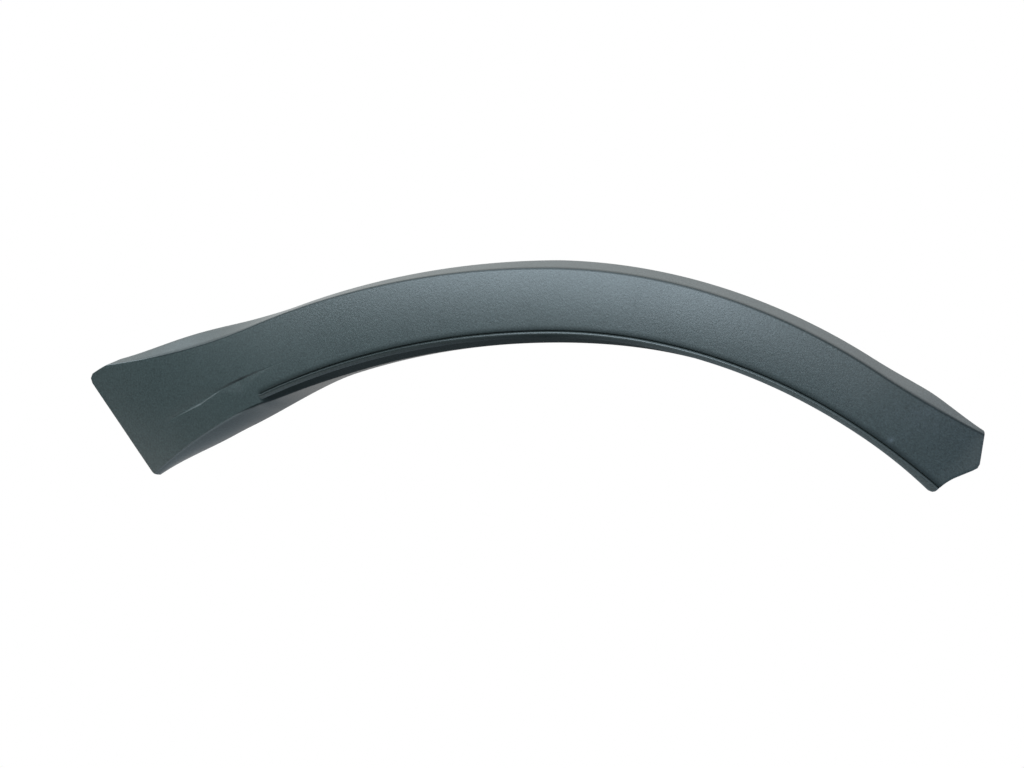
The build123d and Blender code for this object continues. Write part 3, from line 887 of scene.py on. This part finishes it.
def tower_outlines(form, station, outline, low, high):
    """Lower and upper outline of a prism at a clip, from an outline along and across the strip; high is
    a height, or None for the middle of the face's wall."""
    radius = form.lip_radius_tail if station < 0 else form.lip_radius_nose
    centre = LIP_BELOW_CLIP * fold_offset(form, np.array(station)) / form.face_width
    angle = station / radius
    beside, across = np.array(outline).T
    offset = centre + across
    x = (radius + offset) * np.sin(angle) + beside * np.cos(angle)
    z = -LIP_BELOW_CLIP - radius * (1 - np.cos(angle)) + offset * np.cos(angle) - beside * np.sin(angle)
    panel = (radius * np.sin(angle)) ** 2 / (2 * form.body_plan_radius)
    if high is None:
        stations = station + beside * radius / (radius + offset)
        middle = place(form, stations, offset, face_height(form, stations, offset) - form.wall / 2)
        top = panel - middle[:, 1]
    else:
        top = np.full(len(beside), high)
    return [np.stack((x, panel - height, z), axis=1) for height in (np.full(len(beside), low), top)]


def tower_and_gusset_solids(form):
    """Points and faces of the clip towers, each a U of walls open to the nose round a slotted plate, and
    of the gussets between the face and the flange; both run into the middle of the wall."""
    points, faces = [], []
    half, slot = TOWER_SIZE / 2, TOWER_SLOT / 2
    inner, edge = half - TOWER_WALL, half - PLATE_INSET
    walls = [(-half, -half), (half, -half), (half, -inner), (-inner, -inner)]
    walls += [(x, -y) for x, y in walls[::-1]]
    plate = [(-edge, -edge), (edge, -edge), (edge, -slot), (-slot, -slot)]
    plate += [(x, -y) for x, y in plate[::-1]]
    plate_foot, plate_top = TOWER_FOOT + PLATE_LIFT, TOWER_FOOT + TOWER_PLATE
    for station in CLIP_STATIONS:
        prism(*tower_outlines(form, station, walls, TOWER_FOOT, None), points, faces)
        prism(*tower_outlines(form, station, plate, plate_foot, plate_top), points, faces)
    for station in GUSSET_STATIONS:
        at = np.array([station])
        middle = inner_corners(skin_corners(form, at), form.wall / 2)
        face = face_height(form, at, GUSSET_OFFSET)
        heel, top = [pair(GUSSET_OFFSET, face - depth * form.wall) for depth in (GUSSET_HEEL, 0.5)]
        foot = crossing(middle[3], middle[4], heel, pair([2 * RETURN_OFFSET], GUSSET_FOOT))
        rib = np.concatenate((heel, top, middle[2], middle[3], foot))
        ends = [place(form, at + side, rib[:, 0], rib[:, 1]) for side in (-GUSSET_HALF, GUSSET_HALF)]
        prism(*ends, points, faces)
    return points, faces


def add_piece(name, points, faces, material, node, layers):
    """A mesh object with its place in its points, its values per point in layers, like points welded and
    its faces turned outwards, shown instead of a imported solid."""
    mesh = bpy.data.meshes.new(name)
    mesh.from_pydata(np.asarray(points).tolist(), [], faces)
    for layer, values in layers.items():
        mesh.attributes.new(layer, "FLOAT", "POINT").data.foreach_set("value", values.astype(np.float32))
    shell = bmesh.new()
    shell.from_mesh(mesh)
    bmesh.ops.remove_doubles(shell, verts=shell.verts, dist=WELD)
    bmesh.ops.recalc_face_normals(shell, faces=shell.faces)
    shell.to_mesh(mesh)
    shell.free()
    mesh.shade_smooth()
    mesh.set_sharp_from_angle(angle=SHARP_ANGLE)
    mesh.materials.append(material)
    piece = bpy.data.objects.new(name, mesh)
    bpy.context.scene.collection.objects.link(piece)
    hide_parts(node)
    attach(piece, "root")
    return piece


# Materials

# widths of the melt's flow marks and of the patches in handling marks
FLOW_WIDTH, PATCH_WIDTH = 0.04545, 0.003333
# roughness of the satin skin, and its grain's depth and its shades from pit to ridge
SATIN_ROUGHNESS, GRAIN_DEPTH, GRAIN_SHADES = (0.29, 0.39), 0.00015, (0.72, 1.28)
# painted shade: the share of the colour kept where shade is painted in full, the specular level of a satin
# zone and of a fully shaded zone, and the gloss a smudge takes
PAINTED_SHADE, SHINE, SMUDGE_MATT = 0.42, (0.5, 0.03), 0.5
SCUFF_COLOUR, FLOOR_COLOUR, CLOTH_COLOUR = "#7f888c", "#e6e6e6", "#3a3d40"


def polypropylene(look):
    """Dark grey-green polypropylene moulded in a finely etched tool: satin, with soft broad highlights."""
    material = bpy.data.materials.new("grained_polypropylene_moulded")
    material.use_nodes = True
    tree = material.node_tree
    shader = tree.nodes["Principled BSDF"]
    spot = add_node(tree, "ShaderNodeTexCoord").outputs["Object"]
    # the real grain is about a quarter of a millimetre; it is drawn coarser so that it shows
    grain = add_node(
        tree,
        "ShaderNodeTexNoise",
        {"Vector": spot, "Scale": 1 / look.grain_size, "Detail": 3.0, "Roughness": 0.6},
    ).outputs["Fac"]
    bump = add_node(tree, "ShaderNodeBump", {"Height": grain, "Strength": 0.5, "Distance": GRAIN_DEPTH})
    # slow flow marks of the melt, some centimetres wide, shift the gloss a little
    flow = add_node(tree, "ShaderNodeTexNoise", {"Vector": spot, "Scale": 1 / FLOW_WIDTH, "Detail": 2.0})
    gloss = add_node(
        tree,
        "ShaderNodeMapRange",
        {"Value": flow.outputs["Fac"], "To Min": SATIN_ROUGHNESS[0], "To Max": SATIN_ROUGHNESS[1]},
    )
    # light and dark pits of the grain, and the darker colour that painted shade takes
    colour = linear(look.moulding_colour)[:3]
    shades = GRAIN_SHADES + (PAINTED_SHADE,)
    dark, pale, painted_shade_colour = [tuple(share * part for part in colour) + (1.0,) for share in shades]
    speck = add_node(tree, "ShaderNodeMapRange", {"Value": grain, "From Min": 0.3, "From Max": 0.7})
    skin = add_node(
        tree, "ShaderNodeMix", {"Factor": speck.outputs["Result"], "A": dark, "B": pale}, data_type="RGBA"
    )
    # handling marks, smudges that darken and take away gloss and a pale scuff, and a broad faint lightening
    # of the nose, all broken up by a noise of a few millimetres
    patchy = add_node(tree, "ShaderNodeTexNoise", {"Vector": spot, "Scale": 1 / PATCH_WIDTH, "Detail": 3.0})
    patch = add_node(
        tree, "ShaderNodeMapRange", {"Value": patchy.outputs["Fac"], "From Min": 0.35, "From Max": 0.65}
    ).outputs["Result"]
    smudge, scuff = [
        add_node(
            tree,
            "ShaderNodeMath",
            {0: add_node(tree, "ShaderNodeAttribute", attribute_name=name).outputs["Fac"], 1: patch},
            operation="MULTIPLY",
        ).outputs[0]
        for name in ("smudge", "scuff")
    ]
    skin = add_node(
        tree,
        "ShaderNodeMix",
        {"Factor": scuff, "A": skin.outputs["Result"], "B": linear(SCUFF_COLOUR)},
        data_type="RGBA",
    )
    # painted shade: in the bead's grooves, under the bead, along the folds, on the crease's lower ledge and
    # on the flange the skin is drawn darker and with hardly any shine; smudges add to it, and the back
    # keeps a little of it
    painted_shade_and_matt = add_node(tree, "ShaderNodeAttribute", attribute_name="painted_shade_and_matt").outputs["Fac"]
    painted_shade_and_matt = add_node(
        tree,
        "ShaderNodeMath",
        {0: smudge, 1: SMUDGE_MATT, 2: painted_shade_and_matt},
        operation="MULTIPLY_ADD",
        use_clamp=True,
    ).outputs[0]
    shine = add_node(tree, "ShaderNodeMapRange", {"Value": painted_shade_and_matt, "To Min": SHINE[0], "To Max": SHINE[1]})
    skin = add_node(
        tree, "ShaderNodeMix", {"Factor": painted_shade_and_matt, "A": skin.outputs["Result"], "B": painted_shade_colour}, data_type="RGBA"
    )
    tree.links.new(skin.outputs["Result"], shader.inputs["Base Color"])
    tree.links.new(shine.outputs["Result"], shader.inputs["Specular IOR Level"])
    tree.links.new(gloss.outputs["Result"], shader.inputs["Roughness"])
    tree.links.new(bump.outputs["Normal"], shader.inputs["Normal"])
    return material


def nylon(look):
    """Uncoloured nylon of the push-in clips: off-white, a little see-through and half glossy from a
    polished tool."""
    material = bpy.data.materials.new("natural_nylon_moulded")
    material.use_nodes = True
    shader = material.node_tree.nodes["Principled BSDF"]
    shader.inputs["Base Color"].default_value = linear(look.clip_colour)
    shader.inputs["Roughness"].default_value = 0.38
    shader.inputs["Subsurface Weight"].default_value = 0.15
    shader.inputs["Subsurface Scale"].default_value = 0.001
    return material


def background_rays(tree):
    """1 for rays from the camera or off glossy and clear surfaces, which see the plain white background."""
    path = add_node(tree, "ShaderNodeLightPath").outputs
    seen = path["Is Camera Ray"]
    for kind in ("Is Glossy Ray", "Is Transmission Ray"):
        seen = add_node(tree, "ShaderNodeMath", {0: seen, 1: path[kind]}, operation="MAXIMUM").outputs[0]
    return seen


# Pieces


class ARCHTRIM_OT_moulding(bpy.types.Operator):
    """Builds the moulded strip with its bead, crease, hollow back and screw holes"""

    bl_idname = "archtrim.moulding"
    bl_label = "Build the moulding"

    def execute(self, context):
        points, faces, painted_shade_and_matt = moulding_surface(context.scene.trim_form)
        plastic = polypropylene(context.scene.trim_look)
        # the share of painted shade and lost gloss rides on the skin as a point attribute
        layers = {"painted_shade_and_matt": painted_shade_and_matt, "smudge": worn(points, SMUDGES), "scuff": worn(points, SCUFFS)}
        add_piece("trim_moulding", points, faces, plastic, "arch_moulding", layers)
        return {"FINISHED"}


class ARCHTRIM_OT_back(bpy.types.Operator):
    """Builds the clip towers and gussets on the hollow side"""

    bl_idname = "archtrim.back"
    bl_label = "Build the back"

    def execute(self, context):
        points, faces = tower_and_gusset_solids(context.scene.trim_form)
        plastic = bpy.data.materials["grained_polypropylene_moulded"]
        name = "clip_towers_and_gussets"
        back = add_piece(name, points, faces, plastic, "arch_moulding", {})
        soft = back.modifiers.new("moulded_edges", "BEVEL")
        soft.width = TOWER_EDGE
        soft.segments = 2
        soft.limit_method = "ANGLE"
        return {"FINISHED"}


class ARCHTRIM_OT_clips(bpy.types.Operator):
    """Finishes the push-in clips in natural nylon"""

    bl_idname = "archtrim.clips"
    bl_label = "Finish the clips"

    def execute(self, context):
        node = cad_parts["push_in_clips"]
        node.data.materials.clear()
        node.data.materials.append(nylon(context.scene.trim_look))
        return {"FINISHED"}


# Studio

FILL_STRENGTH, SENSOR_WIDTH = 0.25, 36.0
FLOOR_RADIUS, FLOOR_SIDES, FLOOR_FADE = 1.6, 96, (0.3, 1.1)
# drape: radius, first and last azimuth in degrees, foot and top, and uprights
DRAPE_RADIUS, DRAPE_TURN, DRAPE_HEIGHTS, DRAPE_UPRIGHTS = 2.4, (-115, 70), (-0.6, 0.85), 38
# soft boxes: name, azimuth and elevation in degrees, distance, size, watts, colour, and whether the
# satin skin mirrors them; the key lights the face, the tail box the crease and the side box the nose
SOFT_BOXES = (
    ("key_soft_box", -26, 50, 2.0, (1.6, 1.7), 74, "#dceefc", True),
    ("top_soft_box", 190, 65, 1.8, (2.6, 0.9), 9, "#ffffff", True),
    ("tail_soft_box", -82, 35, 2.0, (0.9, 0.6), 10, "#dceefc", True),
    ("side_soft_box", 78, 5, 1.8, (1.2, 1.2), 16, "#a8c0ff", False),
)


def direction(azimuth, elevation):
    """Direction of length 1 at an azimuth, counted from the front to the right, and an elevation."""
    flat = math.cos(elevation)
    return Vector((math.sin(azimuth) * flat, -math.cos(azimuth) * flat, math.sin(elevation)))


def world_light(scene):
    """White for the rays that see the background, and a dim even fill for all others."""
    world = bpy.data.worlds.new("studio_room")
    scene.world = world
    world.use_nodes = True
    tree = world.node_tree
    tree.nodes.clear()
    white = add_node(tree, "ShaderNodeBackground", {"Color": (1, 1, 1, 1), "Strength": 1.0})
    fill = add_node(tree, "ShaderNodeBackground", {"Color": (1, 1, 1, 1), "Strength": FILL_STRENGTH})
    mix = add_node(
        tree, "ShaderNodeMixShader", {0: background_rays(tree), 1: fill.outputs[0], 2: white.outputs[0]}
    )
    add_node(tree, "ShaderNodeOutputWorld", {"Surface": mix.outputs[0]})


def soft_box(aim, name, azimuth, elevation, distance, size, watts, colour, mirrored):
    """An area lamp at a distance from a point, turned to it."""
    lamp = bpy.data.lights.new(name, "AREA")
    lamp.shape = "RECTANGLE"
    lamp.size, lamp.size_y = size
    lamp.energy = watts
    lamp.color = linear(colour)[:3]
    box = bpy.data.objects.new(name, lamp)
    toward = direction(math.radians(azimuth), math.radians(elevation))
    box.location = aim + distance * toward
    box.rotation_euler = toward.to_track_quat("Z", "Y").to_euler()
    bpy.context.scene.collection.objects.link(box)
    box.visible_glossy = mirrored


def pale_floor(height):
    """A pale round floor that takes the shadow and runs out to the white of the background at its rim."""
    mesh = bpy.data.meshes.new("pale_floor")
    turn = np.linspace(0, 2 * np.pi, FLOOR_SIDES + 1)[:-1]
    x, y = FLOOR_RADIUS * np.cos(turn), FLOOR_RADIUS * np.sin(turn)
    rim = np.stack((x, y, np.full(FLOOR_SIDES, height)), axis=1)
    mesh.from_pydata(rim.tolist(), [], [tuple(range(FLOOR_SIDES))])
    floor = bpy.data.objects.new("pale_floor", mesh)
    bpy.context.scene.collection.objects.link(floor)
    material = bpy.data.materials.new("matt_white_floor_paint")
    material.use_nodes = True
    tree = material.node_tree
    tree.nodes.clear()
    paint = add_node(tree, "ShaderNodeBsdfDiffuse", {"Color": linear(FLOOR_COLOUR)})
    white = add_node(tree, "ShaderNodeEmission", {"Color": (1, 1, 1, 1), "Strength": 1.0})
    spot = add_node(tree, "ShaderNodeTexCoord").outputs["Object"]
    flat = add_node(tree, "ShaderNodeVectorMath", {0: spot, 1: (1, 1, 0)}, operation="MULTIPLY")
    reach = add_node(tree, "ShaderNodeVectorMath", {0: flat.outputs[0]}, operation="LENGTH")
    fade = add_node(
        tree,
        "ShaderNodeMapRange",
        {"Value": reach.outputs["Value"], "From Min": FLOOR_FADE[0], "From Max": FLOOR_FADE[1]},
        interpolation_type="SMOOTHSTEP",
    )
    share = add_node(
        tree, "ShaderNodeMath", {0: fade.outputs["Result"], 1: background_rays(tree)}, operation="MULTIPLY"
    )
    mix = add_node(
        tree, "ShaderNodeMixShader", {0: share.outputs[0], 1: paint.outputs[0], 2: white.outputs[0]}
    )
    add_node(tree, "ShaderNodeOutputMaterial", {"Surface": mix.outputs[0]})
    mesh.materials.append(material)


def dark_drape(aim):
    """A dark cloth round the camera's side of the studio, as half a drum, which gives the satin skin
    something dark to mirror beside the soft box; only mirrored rays see it."""
    mesh = bpy.data.meshes.new("dark_drape")
    turn = np.radians(np.linspace(*DRAPE_TURN, DRAPE_UPRIGHTS))
    ring = DRAPE_RADIUS * np.stack((np.sin(turn), -np.cos(turn)), axis=1) + np.array(aim[:2])
    edges = [np.column_stack((ring, np.full(DRAPE_UPRIGHTS, height))) for height in DRAPE_HEIGHTS]
    faces = grid_faces(np.arange(2 * DRAPE_UPRIGHTS).reshape(2, DRAPE_UPRIGHTS), False)
    mesh.from_pydata(np.concatenate(edges).tolist(), [], faces.reshape(-1, 4).tolist())
    drape = bpy.data.objects.new("dark_drape", mesh)
    bpy.context.scene.collection.objects.link(drape)
    drape.visible_camera = False
    drape.visible_diffuse = False
    drape.visible_shadow = False
    material = bpy.data.materials.new("dark_cotton_cloth")
    material.use_nodes = True
    shader = material.node_tree.nodes["Principled BSDF"]
    shader.inputs["Base Color"].default_value = linear(CLOTH_COLOUR)
    shader.inputs["Roughness"].default_value = 1.0
    mesh.materials.append(material)


class ARCHTRIM_OT_studio(bpy.types.Operator):
    """Sets up the floor, the soft lights and the camera at the photo's view"""

    bl_idname = "archtrim.studio"
    bl_label = "Set up the studio"

    def execute(self, context):
        scene = context.scene
        studio = scene.trim_studio
        aim = Vector(studio.aim)
        world_light(scene)
        pale_floor(studio.floor_height)
        dark_drape(aim)
        for box in SOFT_BOXES:
            soft_box(aim, *box)
        lens = bpy.data.cameras.new("photo_camera")
        lens.sensor_width = SENSOR_WIDTH
        lens.lens = lens.sensor_width * studio.distance / studio.picture_width
        camera = bpy.data.objects.new("photo_camera", lens)
        toward = direction(studio.azimuth, 0.0)
        camera.location = aim + studio.distance * toward
        camera.rotation_euler = (-toward).to_track_quat("-Z", "Y").to_euler()
        scene.collection.objects.link(camera)
        scene.camera = camera
        scene.view_settings.view_transform = "Standard"
        return {"FINISHED"}


# Panel and start


class ARCHTRIM_PT_panel(bpy.types.Panel):
    """Sizes, colours and the steps of the build"""

    bl_idname = "ARCHTRIM_PT_panel"
    bl_label = "Wheel arch trim"
    bl_space_type = "VIEW_3D"
    bl_region_type = "UI"
    bl_category = "Arch Trim"

    def draw(self, context):
        for group in (context.scene.trim_form, context.scene.trim_look, context.scene.trim_studio):
            column = self.layout.column()
            for name in group.__annotations__:
                column.prop(group, name)
        for step in STEPS:
            self.layout.operator(step.bl_idname)


STEPS = (ARCHTRIM_OT_moulding, ARCHTRIM_OT_back, ARCHTRIM_OT_clips, ARCHTRIM_OT_studio)
CLASSES = (TrimForm, TrimLook, TrimStudio) + STEPS + (ARCHTRIM_PT_panel,)


def register():
    """Makes the classes and the scene's three groups of values known to Blender."""
    for each in CLASSES:
        bpy.utils.register_class(each)
    bpy.types.Scene.trim_form = bpy.props.PointerProperty(type=TrimForm)
    bpy.types.Scene.trim_look = bpy.props.PointerProperty(type=TrimLook)
    bpy.types.Scene.trim_studio = bpy.props.PointerProperty(type=TrimStudio)


def unregister():
    """Takes back what register made known, in the opposite order."""
    del bpy.types.Scene.trim_studio
    del bpy.types.Scene.trim_look
    del bpy.types.Scene.trim_form
    for each in reversed(CLASSES):
        bpy.utils.unregister_class(each)


def main():
    """Builds the trim and its studio in order."""
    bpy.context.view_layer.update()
    register()
    bpy.ops.archtrim.moulding()
    bpy.ops.archtrim.back()
    bpy.ops.archtrim.clips()
    bpy.ops.archtrim.studio()


if __name__ == "__main__":
    main()
